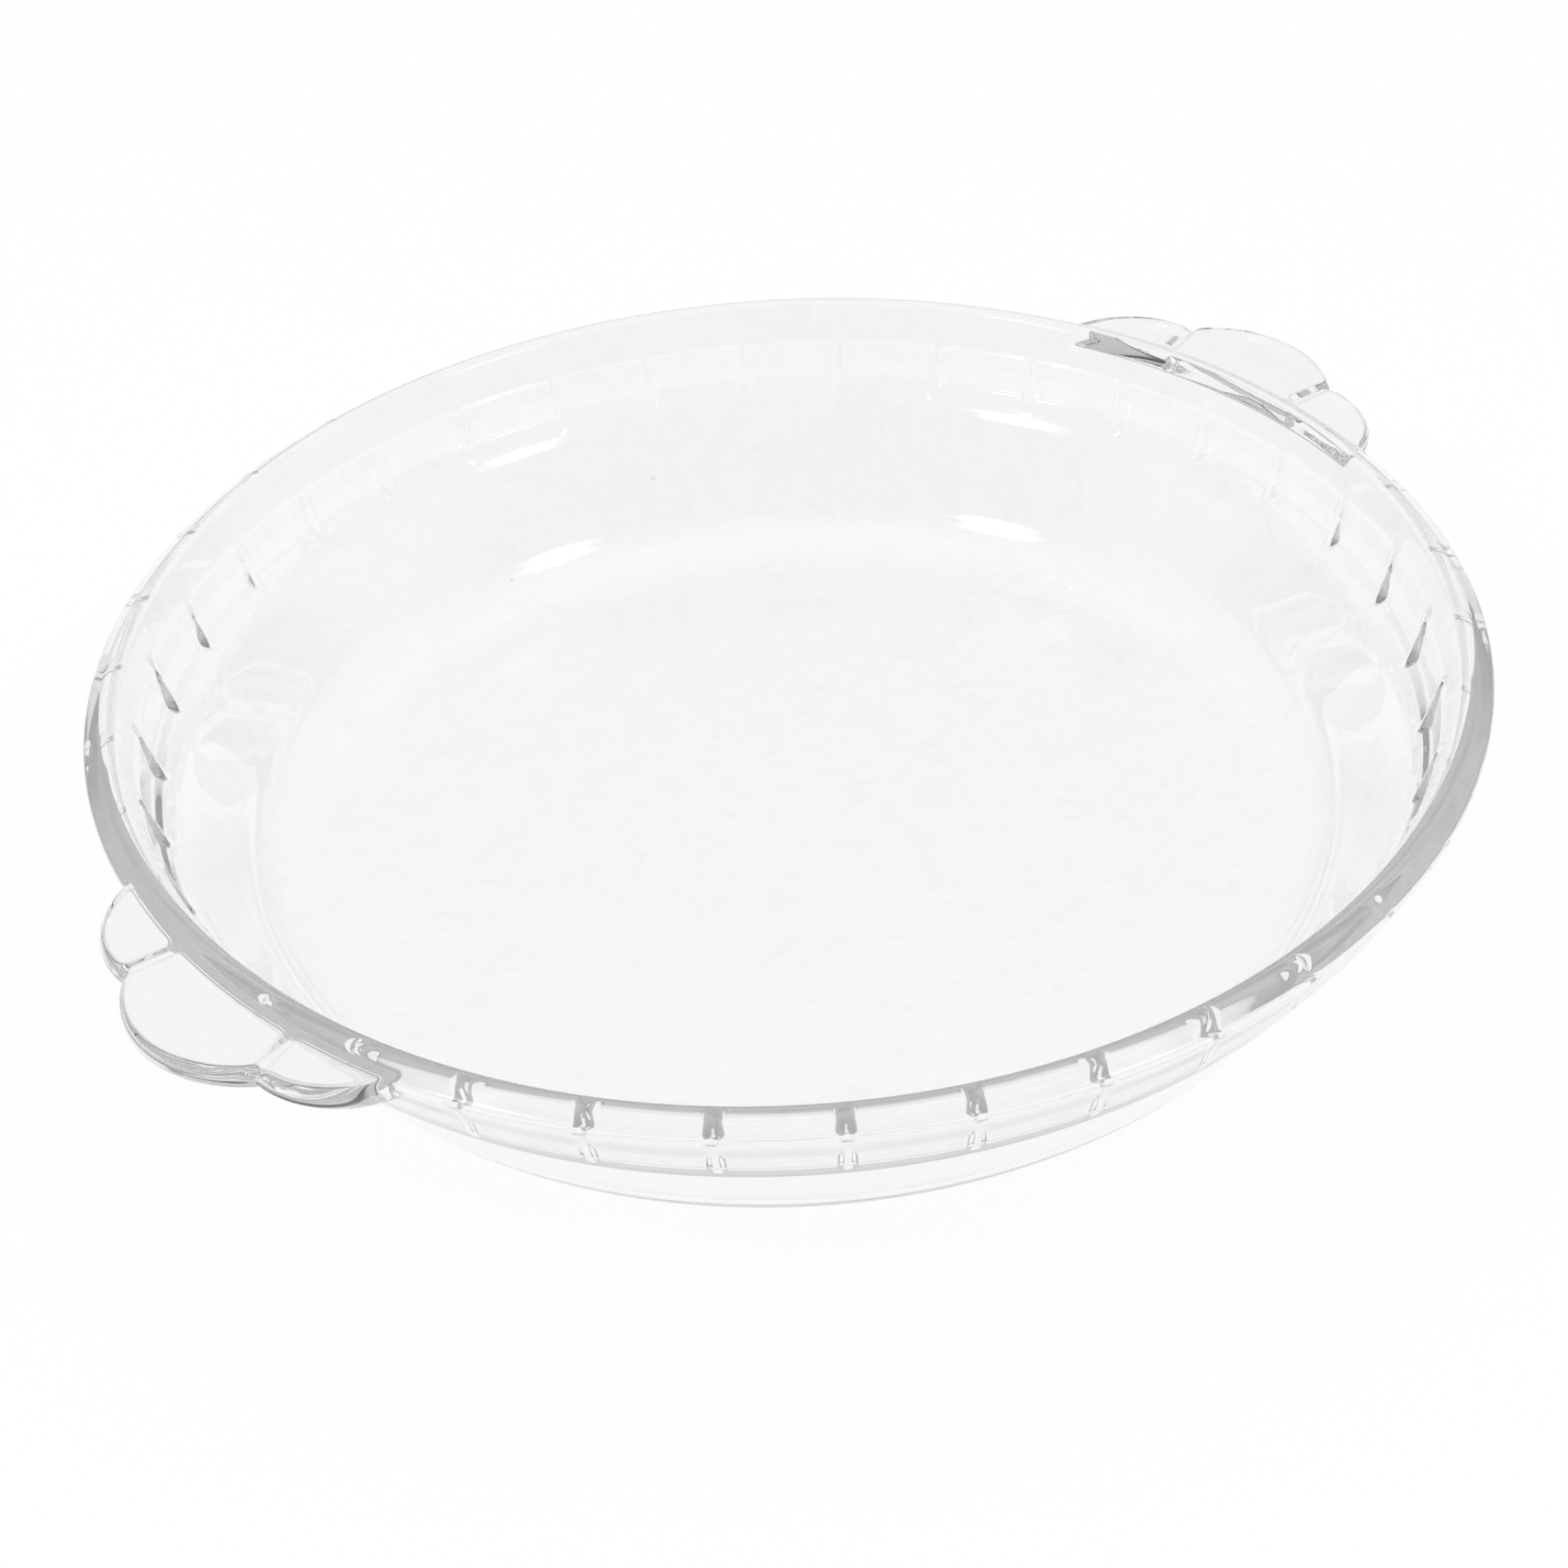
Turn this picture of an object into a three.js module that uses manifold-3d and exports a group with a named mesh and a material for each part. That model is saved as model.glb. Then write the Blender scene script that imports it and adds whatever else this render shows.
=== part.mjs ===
// A round pressed-glass baking dish: one glass body with a stepped wall, a ring of small crimping
// ribs across the step inside, and two tab handles of three round lobes each, out along +X and -X.
// Millimetres, +Z up, the table at z = 0, the dish's axis on Z.
import * as THREE from "three";
import { mergeVertices } from "three/addons/utils/BufferGeometryUtils.js";
import Module from "manifold-3d";

// Driving dimensions of the dish
const RIM_DIAMETER = 240;
const HEIGHT = 44;
const FLOOR_THICKNESS = 4.6;
const WALL_SLOPE = THREE.MathUtils.degToRad(57);

// Foot and heel
const FOOT_RING_WIDTH = 8;
const FOOT_HOLLOW_DEPTH = 0.8;
const OUTER_HEEL_RADIUS = 18;
const INNER_HEEL_RADIUS = 16;

// Rim, from the outside in: an upright edge, a slope up to the crest, and the flat crest
const EDGE_HEIGHT = 1.8;
const EDGE_LOWER_RADIUS = 0.6;
const EDGE_UPPER_RADIUS = 2;
const CREST_SLOPE_WIDTH = 2.6;
const CREST_SLOPE_RISE = 1;
const CREST_WIDTH = 3.2;
const CREST_OUTER_RADIUS = 1.2;
const CREST_INNER_RADIUS = 2.4;

// Outside below the rim: a flange, a steep skirt, and the step in to the wall
const FLANGE_REACH = 2.8;
const FLANGE_DROP = 4.2;
const FLANGE_RADIUS = 13;
const SKIRT_LEAN = 2.3;
const SKIRT_HEIGHT = 6;
const STEP_DEPTH = 1.4;
const STEP_HEIGHT = 2.1;
const STEP_EDGE_RADIUS = 0.8;

// Inside below the rim: an upright band, a crease at its foot, and a ledge down to the shoulder
const GLASS_THICKNESS = 4.4;
const BAND_LEAN = 0.8;
const BAND_HEIGHT = 7.8;
const BAND_RADIUS = 11;
const CREASE_DROP = 1.6;
const CREASE_RADIUS = 2.6;
const LEDGE_DEPTH = 3.7;
const LEDGE_DROP = 3.8;
const SHOULDER_RADIUS = 17;

// Crimping ribs: round bars that lie across the crease, from the band down to the ledge
const RIB_COUNT = 36;
const RIB_RADIUS = 1.6;
const RIB_UP_BAND = 7;
const RIB_DOWN_LEDGE = 4;

// Tab handles
const HANDLE_SPAN = 271.6;
const TAB_THICKNESS = 4.6;
const TAB_BELOW_CREST = 1.1;
const NOSE_FLAT = 0.04;
const MIDDLE_LOBE_RADIUS = 22;
const SIDE_LOBE_RADIUS = 17.7;
const SIDE_LOBE_OFFSET = 17.4;
const SIDE_LOBE_SETBACK = 7.8;
const LOBE_GROOVE_WIDTH = 2;
const LOBE_GROOVE_DEPTH = 0.7;

// Fineness of the facets
const ROUND_STEPS = 72;
const LOBE_STEPS = 40;
const HOLLOW_STEPS = 3;
const ARC_STEP = THREE.MathUtils.degToRad(16);
const NOSE_STEP = THREE.MathUtils.degToRad(36);
const BAR_STEPS = 10;
const BAR_END_STEPS = 3;

const glass = new THREE.MeshStandardMaterial({
  color: 0xf2f5f4,
  roughness: 0.03,
  metalness: 0,
  transparent: true,
  opacity: 0.35,
});

const wasm = await Module();
wasm.setup();

// A closed solid for joining and cutting, from a geometry placed by a matrix
function toSolid(geometry, matrix = new THREE.Matrix4()) {
  const bare = geometry.clone().applyMatrix4(matrix);
  bare.deleteAttribute("normal");
  bare.deleteAttribute("uv");
  const welded = mergeVertices(bare, 1e-4);
  return new wasm.Manifold(
    new wasm.Mesh({
      numProp: 3,
      vertProperties: new Float32Array(welded.attributes.position.array),
      triVerts: new Uint32Array(welded.index.array),
    }),
  );
}

// A geometry with flat facets from a joined or cut solid
function toGeometry(solid) {
  const mesh = solid.getMesh();
  const geometry = new THREE.BufferGeometry();
  geometry.setAttribute("position", new THREE.BufferAttribute(new Float32Array(mesh.vertProperties), 3));
  geometry.setIndex(new THREE.BufferAttribute(new Uint32Array(mesh.triVerts), 1));
  geometry.computeVertexNormals();
  return geometry;
}

// Points along a line through corners, each given as a point and the radius of the arc that rounds it
function roundedProfile(corners, arcStep = ARC_STEP) {
  const points = [];
  corners.forEach(([corner, arc = 0], i) => {
    if (arc === 0) {
      points.push(corner);
      return;
    }
    const back = corners[i - 1][0].clone().sub(corner).normalize();
    const ahead = corners[i + 1][0].clone().sub(corner).normalize();
    const half = Math.acos(THREE.MathUtils.clamp(back.dot(ahead), -1, 1)) / 2;
    const middle = back.clone().add(ahead).normalize();
    const centre = corner.clone().addScaledVector(middle, arc / Math.sin(half));
    const first = corner.clone().addScaledVector(back, arc / Math.tan(half)).sub(centre);
    const last = corner.clone().addScaledVector(ahead, arc / Math.tan(half)).sub(centre);
    const turn = Math.atan2(first.cross(last), first.dot(last));
    const steps = Math.max(2, Math.ceil(Math.abs(turn) / arcStep));
    for (let k = 0; k <= steps; k += 1) {
      points.push(first.clone().rotateAround(new THREE.Vector2(), (turn * k) / steps).add(centre));
    }
  });
  return points;
}

// A solid of revolution round Z from a profile of radii and heights
function revolve(points, steps) {
  const geometry = new THREE.LatheGeometry(points, steps);
  return toSolid(geometry, new THREE.Matrix4().makeRotationX(Math.PI / 2));
}

// A corner of the section: radius from the axis and height above the table
function at(radius, height) {
  return new THREE.Vector2(radius, height);
}

// Corners of the section from the rim's edge down the outside
const edgeTop = at(RIM_DIAMETER / 2, HEIGHT - CREST_SLOPE_RISE);
const edgeFoot = at(edgeTop.x, edgeTop.y - EDGE_HEIGHT);
const skirtTop = at(edgeFoot.x - FLANGE_REACH, edgeFoot.y - FLANGE_DROP);
const skirtFoot = at(skirtTop.x - SKIRT_LEAN, skirtTop.y - SKIRT_HEIGHT);
const wallTop = at(skirtFoot.x - STEP_DEPTH, skirtFoot.y - STEP_HEIGHT);
const heel = at(wallTop.x - wallTop.y / Math.tan(WALL_SLOPE), 0);

// Corners of the section from the crest down the inside
const crestOuter = at(edgeTop.x - CREST_SLOPE_WIDTH, HEIGHT);
const crestInner = at(crestOuter.x - CREST_WIDTH, HEIGHT);
const crease = at(skirtFoot.x - GLASS_THICKNESS, skirtFoot.y - CREASE_DROP);
const bandTop = at(crease.x + BAND_LEAN, crease.y + BAND_HEIGHT);
const shoulder = at(crease.x - LEDGE_DEPTH, crease.y - LEDGE_DROP);
const innerHeelInset = (shoulder.y - FLOOR_THICKNESS) / Math.tan(WALL_SLOPE);
const innerHeel = at(shoulder.x - innerHeelInset, FLOOR_THICKNESS);

// The shallow hollow under the floor, from the axis out to the foot ring
function footHollow() {
  const reach = heel.x - OUTER_HEEL_RADIUS * Math.tan(WALL_SLOPE / 2) - FOOT_RING_WIDTH;
  const points = [];
  for (let k = 0; k <= HOLLOW_STEPS; k += 1) {
    const out = k / HOLLOW_STEPS;
    points.push([at(reach * out, FOOT_HOLLOW_DEPTH * (1 - out ** 2))]);
  }
  return points;
}

// The dish without its handles and ribs: the outside from the foot up, over the rim, and down the inside
function dishProfile() {
  return roundedProfile([
    ...footHollow(),
    [heel, OUTER_HEEL_RADIUS],
    [wallTop, STEP_EDGE_RADIUS],
    [skirtFoot, STEP_EDGE_RADIUS],
    [skirtTop, FLANGE_RADIUS],
    [edgeFoot, EDGE_LOWER_RADIUS],
    [edgeTop, EDGE_UPPER_RADIUS],
    [crestOuter, CREST_OUTER_RADIUS],
    [crestInner, CREST_INNER_RADIUS],
    [bandTop, BAND_RADIUS],
    [crease, CREASE_RADIUS],
    [shoulder, SHOULDER_RADIUS],
    [innerHeel, INNER_HEEL_RADIUS],
    [at(0, FLOOR_THICKNESS)],
  ]);
}

// A pattern of round bars across the crease, each sunk in the glass so that only its crown stands out
function crimpingRibs() {
  const top = crease.clone().addScaledVector(bandTop.clone().sub(crease).normalize(), RIB_UP_BAND);
  const foot = crease.clone().addScaledVector(shoulder.clone().sub(crease).normalize(), RIB_DOWN_LEDGE);
  const length = top.distanceTo(foot);
  const rise = top.clone().sub(foot).normalize();
  const along = new THREE.Vector3(rise.x, 0, rise.y);
  const out = new THREE.Vector3(-rise.y, 0, rise.x);
  const side = new THREE.Vector3().crossVectors(along, out);
  const middle = new THREE.Vector3((top.x + foot.x) / 2, 0, (top.y + foot.y) / 2);
  const place = new THREE.Matrix4().makeBasis(side, along, out);
  place.setPosition(middle.addScaledVector(out, -RIB_RADIUS));
  const bar = new THREE.CapsuleGeometry(RIB_RADIUS, length - 2 * RIB_RADIUS, BAR_END_STEPS, BAR_STEPS);
  let ribs = null;
  for (let k = 0; k < RIB_COUNT; k += 1) {
    const turn = new THREE.Matrix4().makeRotationZ((k * 2 * Math.PI) / RIB_COUNT);
    const rib = toSolid(bar, turn.multiply(place));
    ribs = ribs === null ? rib : ribs.add(rib);
  }
  return ribs;
}

// A round lobe of a handle: a disc with a full round nose
function lobe(radius, x, y, top) {
  const nose = (TAB_THICKNESS - NOSE_FLAT) / 2;
  const outline = roundedProfile(
    [
      [at(0, -TAB_THICKNESS)],
      [at(radius, -TAB_THICKNESS), nose],
      [at(radius, 0), nose],
      [at(0, 0)],
    ],
    NOSE_STEP,
  );
  return revolve(outline, LOBE_STEPS).translate(x, y, top);
}

// The shallow groove between two lobes, along the line where their circles cross
function lobeGroove(middleX, sideX, side, top) {
  const towards = new THREE.Vector2(sideX - middleX, side * SIDE_LOBE_OFFSET);
  const apart = towards.length();
  const reach = (apart ** 2 + MIDDLE_LOBE_RADIUS ** 2 - SIDE_LOBE_RADIUS ** 2) / (2 * apart);
  const centre = towards.clone().setLength(reach).add(new THREE.Vector2(middleX, 0));
  const section = new THREE.Shape();
  section.moveTo(-LOBE_GROOVE_WIDTH, LOBE_GROOVE_DEPTH);
  section.lineTo(0, -LOBE_GROOVE_DEPTH);
  section.lineTo(LOBE_GROOVE_WIDTH, LOBE_GROOVE_DEPTH);
  section.closePath();
  const length = 2 * SIDE_LOBE_RADIUS;
  const bar = new THREE.ExtrudeGeometry(section, { depth: length, bevelEnabled: false });
  const across = new THREE.Vector3(towards.x, towards.y, 0).normalize();
  const up = new THREE.Vector3(0, 0, 1);
  const along = new THREE.Vector3().crossVectors(across, up);
  const middle = new THREE.Vector3(centre.x, centre.y, top).addScaledVector(along, -length / 2);
  const matrix = new THREE.Matrix4().makeBasis(across, up, along).setPosition(middle);
  return toSolid(bar, matrix);
}

// A tab handle on +X, cut off inside the thickness of the rim
function tabHandle() {
  const top = HEIGHT - TAB_BELOW_CREST;
  const middleX = HANDLE_SPAN / 2 - MIDDLE_LOBE_RADIUS;
  const sideX = HANDLE_SPAN / 2 - SIDE_LOBE_SETBACK - SIDE_LOBE_RADIUS;
  let tab = lobe(MIDDLE_LOBE_RADIUS, middleX, 0, top);
  for (const side of [-1, 1]) {
    tab = tab.add(lobe(SIDE_LOBE_RADIUS, sideX, side * SIDE_LOBE_OFFSET, top));
  }
  for (const side of [-1, 1]) {
    tab = tab.subtract(lobeGroove(middleX, sideX, side, top));
  }
  const crestMiddle = (crestOuter.x + crestInner.x) / 2;
  const core = new THREE.CylinderGeometry(crestMiddle, crestMiddle, 2 * HEIGHT, ROUND_STEPS);
  return tab.subtract(toSolid(core, new THREE.Matrix4().makeRotationX(Math.PI / 2)));
}

// The whole dish as one pressing
function glassDish() {
  const handle = tabHandle();
  const opposite = handle.rotate([0, 0, 180]);
  const body = revolve(dishProfile(), ROUND_STEPS);
  return toGeometry(body.add(crimpingRibs()).add(handle).add(opposite));
}

const dish = new THREE.Mesh(glassDish(), glass);
dish.name = "glass_dish";

const bakingDish = new THREE.Group();
bakingDish.add(dish);

export default bakingDish;
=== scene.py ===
import math

import bpy
import numpy as np
from mathutils import Matrix


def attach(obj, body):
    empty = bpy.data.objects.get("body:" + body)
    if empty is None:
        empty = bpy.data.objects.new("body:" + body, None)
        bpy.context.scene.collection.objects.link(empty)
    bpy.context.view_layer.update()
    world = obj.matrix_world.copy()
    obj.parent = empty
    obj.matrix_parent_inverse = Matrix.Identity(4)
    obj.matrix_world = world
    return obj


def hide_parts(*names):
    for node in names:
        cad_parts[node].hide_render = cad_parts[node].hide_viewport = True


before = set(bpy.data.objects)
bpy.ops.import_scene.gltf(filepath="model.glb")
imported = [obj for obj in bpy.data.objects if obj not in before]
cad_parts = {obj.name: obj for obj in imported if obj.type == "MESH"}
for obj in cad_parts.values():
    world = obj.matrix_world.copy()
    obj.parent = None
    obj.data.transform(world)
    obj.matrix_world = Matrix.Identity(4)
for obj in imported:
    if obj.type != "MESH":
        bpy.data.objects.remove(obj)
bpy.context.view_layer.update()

MM = 0.001

# Section of the dish: each corner is (radius from the axis, height, rounding), in millimetres
OUTSIDE = [
    (0.0, 0.8, 0.0),
    (38.0, 0.6, 0.0),
    (77.0, 0.0, 0.0),
    (94.2, 0.0, 18.0),
    (115.1, 31.4, 1.0),
    (116.2, 34.4, 0.8),
    (120.0, 40.8, 0.6),
]
RIM = [
    (120.0, 42.0, 0.8),
    (116.9, 44.0, 3.0),
    (114.8, 44.0, 1.9),
]
INSIDE = [
    (111.7, 37.6, 8.0),
    (110.5, 29.4, 2.0),
    (106.4, 25.8, 18.0),
    (93.1, 4.6, 13.0),
    (0.0, 4.6, 0.0),
]
CREST_FROM = 43.999

# Fineness of the mesh
STRAIGHT_STEP = 3.0
FINE_STEP = 0.55
FINE_ABOVE = 22.0
ARC_STEP = math.radians(6)
LEAST_ARC_POINTS = 3
ANGLES = 1440

# Crimping ribs: round bars sunk upright across the step inside the rim, in millimetres
RIB_COUNT = 36
RIB_TOP = (111.35, 37.2)
RIB_FOOT = (108.1, 26.8)
RIB_RADIUS = 1.4
RIB_STEEPNESS = 5.0
RIB_BLEND = 0.7
RIB_FADES = (39.6, 38.0)
RIB_SHARES = (-0.3, 1.3)

# Tab handles: a slab with a round nose, seen from a centre inside the rim, in millimetres
TAB_CENTRE = (115.6, 40.5)
TAB_HALF_THICKNESS = 2.3
TAB_BLEND = 0.5
TAB_STARTS_AT = 35.0
TAB_STEPS = 84
TAB_SWEEP_POINTS = 4000
TAB_TURN_WEIGHT = 0.6
LEAST_SINE = 1e-6

# Lobes of a tab, each (x, y, radius), and the grooves between them
LOBES = [(113.8, 0.0, 22.0), (110.3, 17.4, 17.7), (110.3, -17.4, 17.7)]
GROOVE_WIDTH = 1.1
GROOVE_DEPTH = 0.8
GROOVE_FROM = 119.3
GROOVE_ABOVE = 0.7
GROOVE_FADE = 0.8

# Glass: patterns, and pairs of a range and what it turns into; reach is from the dish's middle in metres
GLASS_IOR = 1.5
WAVES = {"Scale": 55, "Detail": 2}
WAVE_BUMP = {"Strength": 1.0, "Distance": 0.00002}
HAZE = {"Scale": 110, "Detail": 7, "Roughness": 0.68, "Distortion": 1.6}
HAZE_LEVEL = (0.48, 0.72)
HAZE_COLOUR = (1.0, 0.955)
SPECK_CELLS = {"Scale": 24}
SPECK_SIZE = (0.007, 0.013)
SPECK_COLOUR = (0.75, 1.0)
WEAR_REACH = (0.082, 0.093)
WEAR_ROUGHNESS = (0.11, 0.0)
# Painted shade: the glass colour turns a little darker across the wall, from the first reach to the
# second
WALL_SHADE_REACH = (0.09, 0.102)
WALL_SHADE_COLOUR = (1.0, 0.97)
ABSORPTION = {"Color": (0.5, 0.5, 0.5, 1), "Density": 0.4}

# Floor, in metres
FLOOR_HALF = 4.0
FLOOR_GAP = 0.0002
FLOOR_COLOUR = {"Color": (0.1, 0.1, 0.1, 1)}
FLOOR_GLOW = 0.945

# Room: (height in the sky, brightness), and how it dims towards the camera's side
ROOM_LEVELS = [(0.0, 0.03), (0.22, 0.06), (0.34, 0.55), (0.9, 0.6), (1.0, 0.8)]
ROOM_FRONT = (0.0, 0.6)
ROOM_FRONT_LEVEL = (1.0, 0.3)

# Softboxes: angles from the camera and the ground, sizes in metres, power in watts
SOFTBOX_SIDE = math.radians(58)
SOFTBOX_ELEVATION = math.radians(50)
SOFTBOX_WIDTH = 0.38
SOFTBOX_HEIGHT = 0.4
SOFTBOX_DISTANCE = 1.3
SOFTBOX_MIDDLE = 0.5
SOFTBOX_EDGE_TO_MIDDLE = (0.5, 0.0)
SOFTBOX_LEVEL = (0.0, 1.4)
RIGHT_POWER = 1.9
LEFT_POWER = 2.6

# Camera
CAMERA_AZIMUTH = math.radians(-42.3)
CAMERA_ELEVATION = 0.6245
CAMERA_DISTANCE = 0.60276
CAMERA_AIM_HEIGHT = 0.042
CAMERA_ROLL = 0.0659
CAMERA_TILT = 0.0373
CAMERA_PAN = -0.0025
CAMERA_LENS = 80.44
CAMERA_SENSOR = 36.0
CAMERA_CLIP_START = 0.01
BOUNCES = 128


def unit(vector):
    return vector / np.linalg.norm(vector)


def towards(azimuth, elevation):
    """Unit vector from the dish to a place seen at these angles."""
    return np.array([
        math.sin(azimuth) * math.cos(elevation),
        -math.cos(azimuth) * math.cos(elevation),
        math.sin(elevation),
    ])


def rise(value, start, end):
    """0 before start, 1 past end and a soft slope between them."""
    share = np.clip((value - start) / (end - start), 0, 1)
    return share * share * (3 - 2 * share)


def rounded_section(corners):
    """Points along the corners, each corner turned into an arc of its own rounding."""
    points = []
    last = len(corners) - 1
    for i, (r, z, rounding) in enumerate(corners):
        corner = np.array([r, z])
        if i in (0, last) or rounding == 0:
            points.append(corner)
            continue
        back = unit(np.array(corners[i - 1][:2]) - corner)
        ahead = unit(np.array(corners[i + 1][:2]) - corner)
        half = math.acos(np.clip(back @ ahead, -1, 1)) / 2
        centre = corner + unit(back + ahead) * rounding / math.sin(half)
        start = corner + back * rounding / math.tan(half) - centre
        end = corner + ahead * rounding / math.tan(half) - centre
        first = math.atan2(start[1], start[0])
        turn = (math.atan2(end[1], end[0]) - first + math.pi) % (2 * math.pi) - math.pi
        count = max(LEAST_ARC_POINTS, math.ceil(abs(turn) / ARC_STEP) + 1)
        for t in np.linspace(first, first + turn, count):
            points.append(centre + rounding * np.array([math.cos(t), math.sin(t)]))
    return np.array(points)


def filled(points):
    """The same line with long stretches split, finely where the ribs and the rim are."""
    line = [points[0]]
    for point in points[1:]:
        start = line[-1]
        gap = np.linalg.norm(point - start)
        step = FINE_STEP if min(point[1], start[1]) > FINE_ABOVE else STRAIGHT_STEP
        count = max(1, math.ceil(gap / step))
        for k in range(1, count + 1):
            line.append(start + (point - start) * k / count)
    return np.array(line)


def tab_distance(direction, reach):
    """Distance from the tab's centre to the edge of its slab, whose round nose ends at reach."""
    flat = TAB_HALF_THICKNESS / np.maximum(np.abs(np.sin(direction)), LEAST_SINE)
    nose_centre = reach - TAB_HALF_THICKNESS
    along = nose_centre * np.cos(direction)
    inside = along ** 2 - nose_centre ** 2 + TAB_HALF_THICKNESS ** 2
    nose = along + np.sqrt(np.maximum(inside, 0))
    on_flat = (flat * np.cos(direction) < nose_centre) | (np.cos(direction) <= 0)
    return np.where(on_flat, flat, nose)


def lobe_reach(angle):
    """How far the handle's outline of three lobes stands from the axis at each angle."""
    reach = np.zeros_like(angle)
    for x, y, radius in LOBES:
        along = x * np.cos(angle) + y * np.sin(angle)
        inside = along ** 2 - x ** 2 - y ** 2 + radius ** 2
        edge = np.where(inside > 0, along + np.sqrt(np.maximum(inside, 0)), 0)
        reach = np.maximum(reach, edge)
    return reach


def lobe_grooves(r, z, from_handle):
    """1 in the middle of the groove between two lobes on top of a tab, 0 away from it."""
    x = r * np.cos(from_handle)[:, None]
    y = r * np.sin(from_handle)[:, None]
    middle = LOBES[0]
    groove = np.zeros_like(r)
    for side in LOBES[1:]:
        across = np.array(side[:2]) - np.array(middle[:2])
        apart = np.linalg.norm(across)
        meeting = (apart ** 2 + middle[2] ** 2 - side[2] ** 2) / (2 * apart)
        away = ((x - middle[0]) * across[0] + (y - middle[1]) * across[1]) / apart - meeting
        groove = np.maximum(groove, np.exp(-(away / GROOVE_WIDTH) ** 2))
    above = np.clip((z - TAB_CENTRE[1] - GROOVE_ABOVE) / GROOVE_FADE, 0, 1)
    beyond = np.clip((r - GROOVE_FROM) / GROOVE_FADE, 0, 1)
    return groove * above * beyond


def rim_with_tabs(rim, angle):
    """Sections of the rim at each angle, grown out into a tab where a handle is."""
    centre = np.array(TAB_CENTRE)
    offset = rim - centre
    distance = np.hypot(offset[:, 0], offset[:, 1])
    direction = np.unwrap(np.arctan2(offset[:, 1], offset[:, 0]))
    from_handle = (angle + math.pi / 2) % math.pi - math.pi / 2
    reach = lobe_reach(from_handle) - centre[0]
    # Places along the section, spread evenly over the longest tab
    sweep = np.linspace(direction[0], direction[-1], TAB_SWEEP_POINTS)
    longest = np.maximum(np.interp(sweep, direction, distance), tab_distance(sweep, reach.max()))
    steps = np.hypot(np.diff(longest * np.cos(sweep)), np.diff(longest * np.sin(sweep)))
    travelled = np.concatenate([[0], np.cumsum(steps + TAB_TURN_WEIGHT * np.diff(sweep))])
    aim = np.interp(np.linspace(0, travelled[-1], TAB_STEPS), travelled, sweep)
    # Plain rim and slab joined with a soft blend
    plain = np.interp(aim, direction, distance)[None, :]
    slab = tab_distance(aim[None, :], np.maximum(reach, TAB_HALF_THICKNESS)[:, None])
    mix = np.clip(0.5 + 0.5 * (slab - plain) / TAB_BLEND, 0, 1)
    joined = slab * mix + plain * (1 - mix) + TAB_BLEND * mix * (1 - mix)
    grown = np.where(reach[:, None] > TAB_HALF_THICKNESS, joined, plain)
    r = centre[0] + grown * np.cos(aim)
    z = centre[1] + grown * np.sin(aim)
    return r, z - GROOVE_DEPTH * lobe_grooves(r, z, from_handle)


def raise_ribs(r, z, angle):
    """Lifts the inside towards the straight line of a rib at every rib's angle."""
    top = np.array(RIB_TOP)
    foot = np.array(RIB_FOOT)
    along = unit(top - foot)
    outward = np.array([-along[1], along[0]])
    sector = 2 * math.pi / RIB_COUNT
    from_rib = (angle + sector / 2) % sector - sector / 2
    share = ((r - foot[0]) * along[0] + (z - foot[1]) * along[1]) / np.linalg.norm(top - foot)
    depth = -((r - foot[0]) * outward[0] + (z - foot[1]) * outward[1])
    across = np.abs(r * from_rib[:, None])
    under = np.maximum(RIB_RADIUS ** 2 - across ** 2, 0)
    bar = RIB_RADIUS - np.sqrt(under) + RIB_STEEPNESS * np.maximum(across - RIB_RADIUS, 0)
    mix = np.clip(0.5 + 0.5 * (depth - bar) / RIB_BLEND, 0, 1)
    joined = depth * (1 - mix) + bar * mix - RIB_BLEND * mix * (1 - mix)
    near_rib = (share > RIB_SHARES[0]) & (share < RIB_SHARES[1])
    lift = np.where(near_rib, depth - joined, 0) * rise(z, *RIB_FADES)
    return r + lift * outward[0], z + lift * outward[1]


def dish_sections():
    """Radius and height of every section point at every angle."""
    angle = np.arange(ANGLES) * 2 * math.pi / ANGLES
    section = filled(rounded_section(OUTSIDE + RIM + INSIDE))
    first = np.argmax(section[:, 1] > TAB_STARTS_AT)
    last = np.argmax(section[:, 1] > CREST_FROM)
    ones = np.ones((ANGLES, 1))
    below = section[:first]
    above = section[last + 1:]
    rim_r, rim_z = rim_with_tabs(section[first:last + 1], angle)
    in_r, in_z = raise_ribs(ones * above[:, 0], ones * above[:, 1], angle)
    r = np.concatenate([ones * below[:, 0], rim_r, in_r], axis=1)
    z = np.concatenate([ones * below[:, 1], rim_z, in_z], axis=1)
    return angle, r, z


def dish_mesh():
    """One closed mesh from the sections, with a fan of triangles at each centre."""
    angle, r, z = dish_sections()
    around = np.arange(ANGLES)
    following = (around + 1) % ANGLES
    rows = r.shape[1] - 2
    ring_r = r[:, 1:-1]
    x = ring_r * np.cos(angle)[:, None]
    y = ring_r * np.sin(angle)[:, None]
    points = np.stack([x, y, z[:, 1:-1]], axis=-1).reshape(-1, 3)
    centres = np.array([[0, 0, z[0, 0]], [0, 0, z[0, -1]]])
    points = np.concatenate([points, centres]) * MM
    here = around * rows
    there = following * rows
    faces = []
    for j in range(rows - 1):
        quads = np.stack([here + j, there + j, there + j + 1, here + j + 1], axis=1)
        faces += quads.tolist()
    under = len(points) - 2
    over = len(points) - 1
    for start, end in zip(here.tolist(), there.tolist()):
        faces.append([under, end, start])
        faces.append([over, start + rows - 1, end + rows - 1])
    mesh = bpy.data.meshes.new("pressed_glass_dish")
    mesh.from_pydata(points.tolist(), [], faces)
    mesh.shade_smooth()
    return mesh


def add_node(tree, kind, values=None):
    """A new node with some of its inputs set by name."""
    node = tree.nodes.new(kind)
    for name, value in (values or {}).items():
        node.inputs[name].default_value = value
    return node


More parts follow.
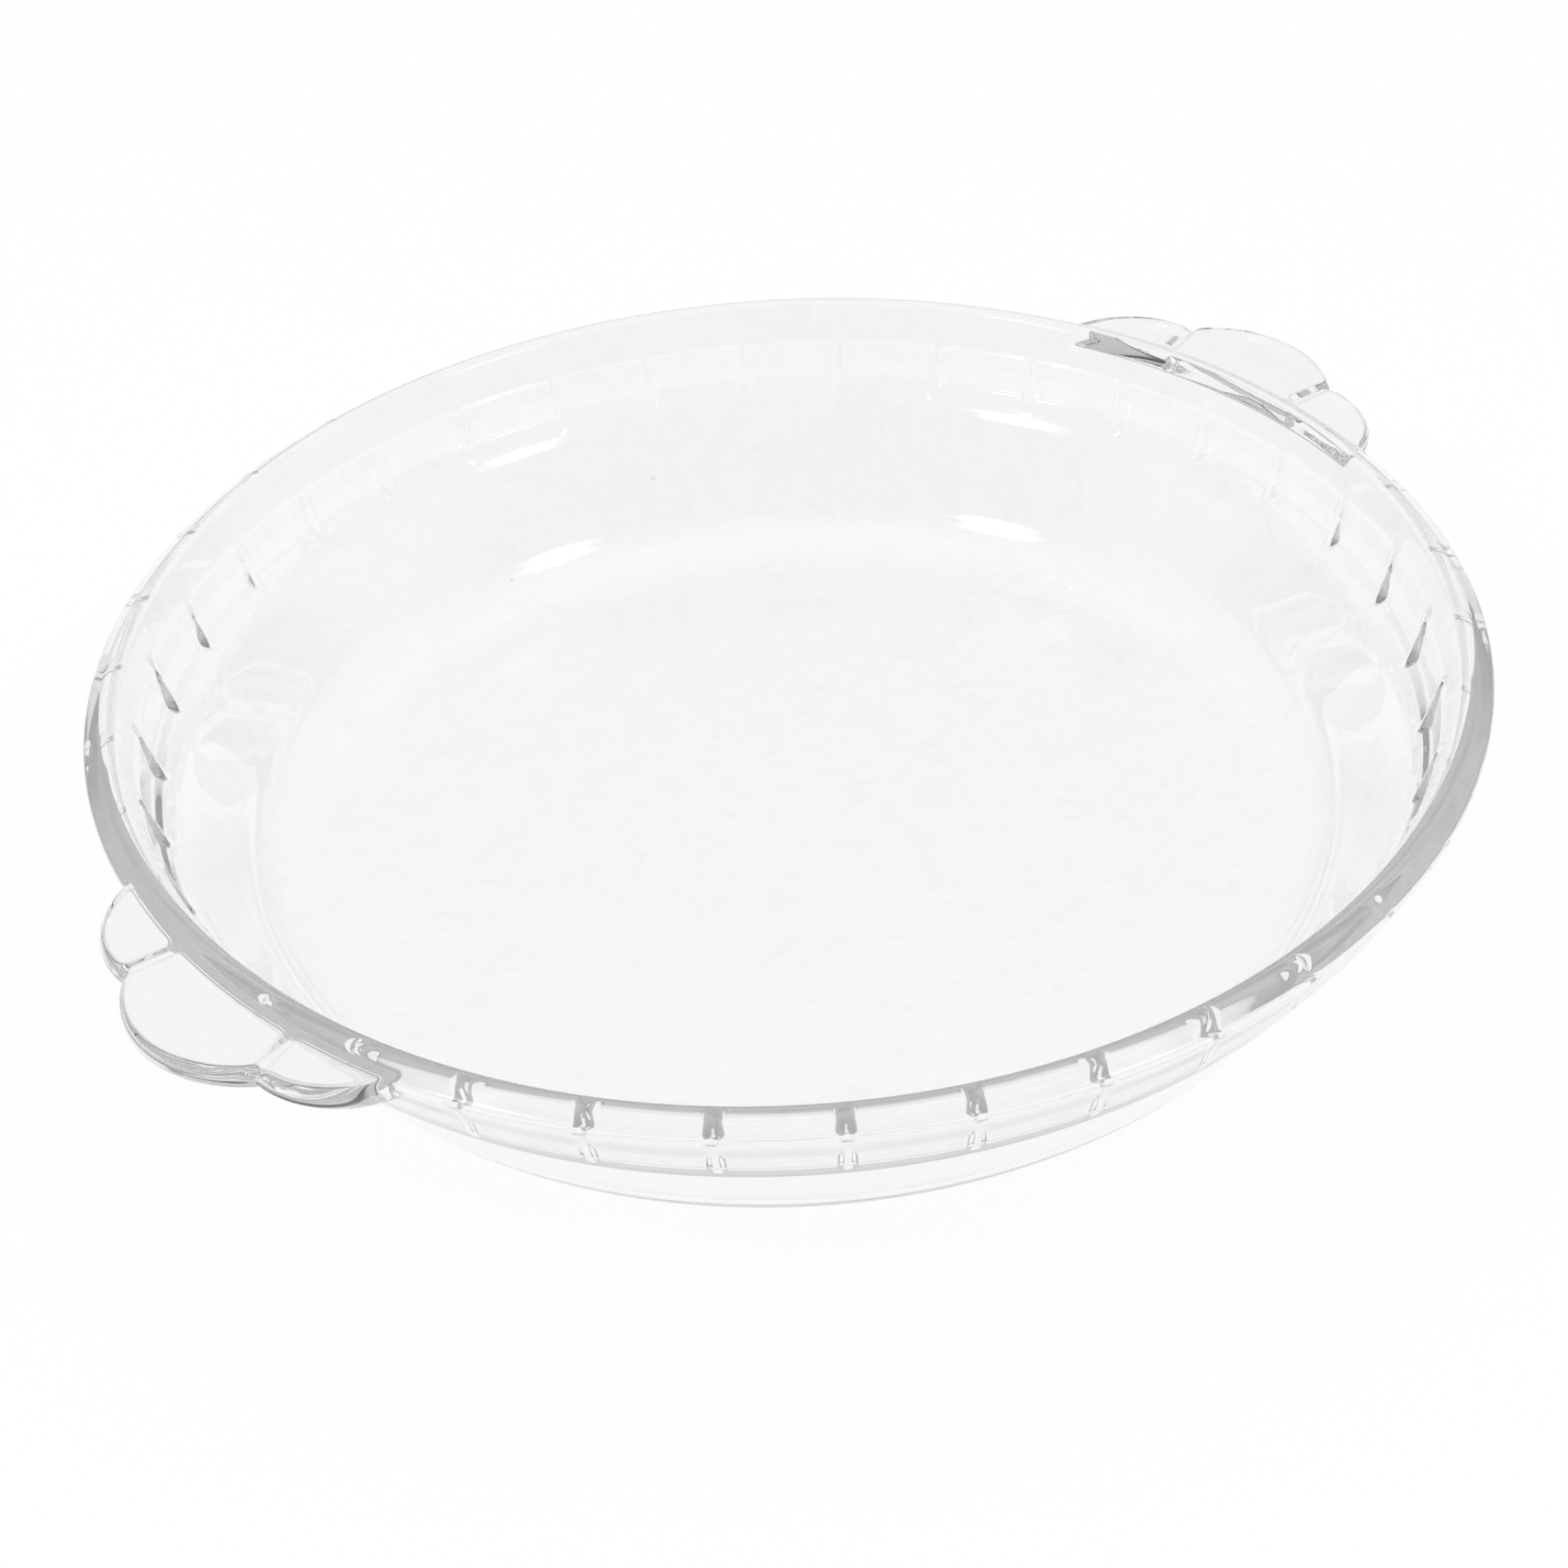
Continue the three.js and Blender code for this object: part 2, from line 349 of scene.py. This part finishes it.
def map_range(tree, source, span, result):
    """A node that turns a range of its source into another range."""
    values = {"From Min": span[0], "From Max": span[1], "To Min": result[0], "To Max": result[1]}
    node = add_node(tree, "ShaderNodeMapRange", values)
    tree.links.new(source, node.inputs["Value"])
    return node


def calculate(tree, operation, first, second=0.0):
    """The value of a math node fed by sockets or plain numbers."""
    node = tree.nodes.new("ShaderNodeMath")
    node.operation = operation
    for socket, source in zip(node.inputs, (first, second)):
        if isinstance(source, float):
            socket.default_value = source
        else:
            tree.links.new(source, socket)
    return node.outputs["Value"]


def new_material(name):
    material = bpy.data.materials.new(name)
    material.use_nodes = True
    return material, material.node_tree


def glass_material():
    """Clear pressed glass with faint waves, haze, specks, painted shade darkening its wall and wear on
    its floor.
    """
    material, tree = new_material("clear_pressed_glass")
    links = tree.links
    shader = tree.nodes["Principled BSDF"]
    shader.inputs["IOR"].default_value = GLASS_IOR
    shader.inputs["Transmission Weight"].default_value = 1.0
    place = tree.nodes.new("ShaderNodeTexCoord").outputs["Object"]

    waves = add_node(tree, "ShaderNodeTexNoise", WAVES)
    bump = add_node(tree, "ShaderNodeBump", WAVE_BUMP)
    links.new(place, waves.inputs["Vector"])
    links.new(waves.outputs["Fac"], bump.inputs["Height"])
    links.new(bump.outputs["Normal"], shader.inputs["Normal"])

    haze = add_node(tree, "ShaderNodeTexNoise", HAZE)
    links.new(place, haze.inputs["Vector"])
    hazy = map_range(tree, haze.outputs["Fac"], HAZE_LEVEL, HAZE_COLOUR)
    cells = add_node(tree, "ShaderNodeTexVoronoi", SPECK_CELLS)
    links.new(place, cells.inputs["Vector"])
    specks = map_range(tree, cells.outputs["Distance"], SPECK_SIZE, SPECK_COLOUR)

    reach = tree.nodes.new("ShaderNodeVectorMath")
    reach.operation = "LENGTH"
    links.new(place, reach.inputs[0])
    wear = map_range(tree, reach.outputs["Value"], WEAR_REACH, WEAR_ROUGHNESS)
    # Painted shade: darker glass colour on the wall, standing in for the shade seen through it
    painted_wall_shade = map_range(tree, reach.outputs["Value"], WALL_SHADE_REACH, WALL_SHADE_COLOUR)
    links.new(wear.outputs["Result"], shader.inputs["Roughness"])
    marked = calculate(tree, "MULTIPLY", hazy.outputs["Result"], specks.outputs["Result"])
    colour = calculate(tree, "MULTIPLY", marked, painted_wall_shade.outputs["Result"])
    links.new(colour, shader.inputs["Base Color"])

    absorption = add_node(tree, "ShaderNodeVolumeAbsorption", ABSORPTION)
    links.new(absorption.outputs["Volume"], tree.nodes["Material Output"].inputs["Volume"])
    return material


def floor_material():
    """Pale floor that keeps the shadow and shows white to the eye and through the glass."""
    material, tree = new_material("pale_floor")
    tree.nodes.remove(tree.nodes["Principled BSDF"])
    matt = add_node(tree, "ShaderNodeBsdfDiffuse", FLOOR_COLOUR)
    glow = tree.nodes.new("ShaderNodeEmission")
    both = tree.nodes.new("ShaderNodeAddShader")
    path = tree.nodes.new("ShaderNodeLightPath")
    seen = calculate(tree, "MAXIMUM", path.outputs["Is Camera Ray"], path.outputs["Is Glossy Ray"])
    seen_or_through = calculate(tree, "MAXIMUM", seen, path.outputs["Is Transmission Ray"])
    strength = calculate(tree, "MULTIPLY", seen_or_through, FLOOR_GLOW)
    tree.links.new(strength, glow.inputs["Strength"])
    tree.links.new(matt.outputs["BSDF"], both.inputs[0])
    tree.links.new(glow.outputs["Emission"], both.inputs[1])
    tree.links.new(both.outputs["Shader"], tree.nodes["Material Output"].inputs["Surface"])
    return material


def add_object(name, data):
    piece = bpy.data.objects.new(name, data)
    bpy.context.collection.objects.link(piece)
    return piece


def set_place(piece, right, up, back, location):
    """Puts a lamp or camera at a location with its own axes along these vectors."""
    columns = np.stack([right, up, back, location], axis=1)
    piece.matrix_world = Matrix([list(row) for row in columns] + [[0, 0, 0, 1]])


def add_floor():
    mesh = bpy.data.meshes.new("floor")
    corners = [(-1, -1), (1, -1), (1, 1), (-1, 1)]
    points = [(x * FLOOR_HALF, y * FLOOR_HALF, -FLOOR_GAP) for x, y in corners]
    mesh.from_pydata(points, [], [(0, 1, 2, 3)])
    mesh.materials.append(floor_material())
    add_object("floor", mesh)


def grey(level):
    return (level, level, level, 1)


def add_world():
    """Room light, dim near the ground and brighter overhead; the camera sees a white backdrop instead."""
    world = bpy.data.worlds.new("room")
    world.use_nodes = True
    tree = world.node_tree
    links = tree.links
    room = tree.nodes["Background"]
    place = tree.nodes.new("ShaderNodeTexCoord").outputs["Generated"]

    split = tree.nodes.new("ShaderNodeSeparateXYZ")
    ramp = tree.nodes.new("ShaderNodeValToRGB")
    stops = ramp.color_ramp.elements
    for stop, (height, level) in zip(stops, (ROOM_LEVELS[0], ROOM_LEVELS[-1])):
        stop.position = height
        stop.color = grey(level)
    for height, level in ROOM_LEVELS[1:-1]:
        stops.new(height).color = grey(level)
    links.new(place, split.inputs["Vector"])
    links.new(split.outputs["Z"], ramp.inputs["Fac"])
    links.new(ramp.outputs["Color"], room.inputs["Color"])

    facing = tree.nodes.new("ShaderNodeVectorMath")
    facing.operation = "DOT_PRODUCT"
    facing.inputs[1].default_value = towards(CAMERA_AZIMUTH, 0)
    links.new(place, facing.inputs[0])
    front = map_range(tree, facing.outputs["Value"], ROOM_FRONT, ROOM_FRONT_LEVEL)
    links.new(front.outputs["Result"], room.inputs["Strength"])

    path = tree.nodes.new("ShaderNodeLightPath")
    backdrop = add_node(tree, "ShaderNodeBackground", {"Color": grey(1)})
    either = tree.nodes.new("ShaderNodeMixShader")
    links.new(path.outputs["Is Camera Ray"], either.inputs["Fac"])
    links.new(room.outputs["Background"], either.inputs[1])
    links.new(backdrop.outputs["Background"], either.inputs[2])
    links.new(either.outputs["Shader"], tree.nodes["World Output"].inputs["Surface"])
    bpy.context.scene.world = world


def add_softbox(name, azimuth, power):
    """An area lamp that faces the dish and fades towards its edges."""
    lamp = bpy.data.lights.new(name, "AREA")
    lamp.shape = "RECTANGLE"
    lamp.size = SOFTBOX_WIDTH
    lamp.size_y = SOFTBOX_HEIGHT
    lamp.energy = power
    lamp.use_nodes = True
    tree = lamp.node_tree
    place = tree.nodes.new("ShaderNodeNewGeometry").outputs["Parametric"]
    split = tree.nodes.new("ShaderNodeSeparateXYZ")
    tree.links.new(place, split.inputs["Vector"])
    levels = []
    for axis in "XY":
        centred = calculate(tree, "SUBTRACT", split.outputs[axis], SOFTBOX_MIDDLE)
        away = calculate(tree, "ABSOLUTE", centred)
        edge = map_range(tree, away, SOFTBOX_EDGE_TO_MIDDLE, SOFTBOX_LEVEL)
        edge.interpolation_type = "SMOOTHSTEP"
        levels.append(edge.outputs["Result"])
    fade = calculate(tree, "MULTIPLY", *levels)
    tree.links.new(fade, tree.nodes["Emission"].inputs["Strength"])
    back = towards(azimuth, SOFTBOX_ELEVATION)
    right = unit(np.cross([0, 0, 1], back))
    up = np.cross(back, right)
    set_place(add_object(name, lamp), right, up, back, back * SOFTBOX_DISTANCE)


def add_camera():
    """The photograph's view, turned a little from a straight look at the rim's middle."""
    away = towards(CAMERA_AZIMUTH, CAMERA_ELEVATION)
    across = np.array([math.cos(CAMERA_AZIMUTH), math.sin(CAMERA_AZIMUTH), 0])
    axes = np.stack([across, np.cross(away, across), away])
    roll = Matrix.Rotation(CAMERA_ROLL, 3, "Z")
    tilt = Matrix.Rotation(CAMERA_TILT, 3, "X")
    pan = Matrix.Rotation(CAMERA_PAN, 3, "Y")
    right, up, back = np.array(roll @ tilt @ pan) @ axes
    camera = bpy.data.cameras.new("camera")
    camera.sensor_width = CAMERA_SENSOR
    camera.lens = CAMERA_LENS
    camera.clip_start = CAMERA_CLIP_START
    piece = add_object("camera", camera)
    location = away * CAMERA_DISTANCE + np.array([0, 0, CAMERA_AIM_HEIGHT])
    set_place(piece, right, up, back, location)
    bpy.context.scene.camera = piece


dish = add_object("dish_glass", dish_mesh())
dish.data.materials.append(glass_material())
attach(dish, "root")
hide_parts("glass_dish")

add_floor()
add_world()
add_softbox("softbox_right", CAMERA_AZIMUTH + SOFTBOX_SIDE, RIGHT_POWER)
add_softbox("softbox_left", CAMERA_AZIMUTH - SOFTBOX_SIDE, LEFT_POWER)
add_camera()

scene = bpy.context.scene
scene.view_settings.view_transform = "Standard"
scene.cycles.max_bounces = BOUNCES
scene.cycles.transmission_bounces = BOUNCES
scene.cycles.glossy_bounces = BOUNCES
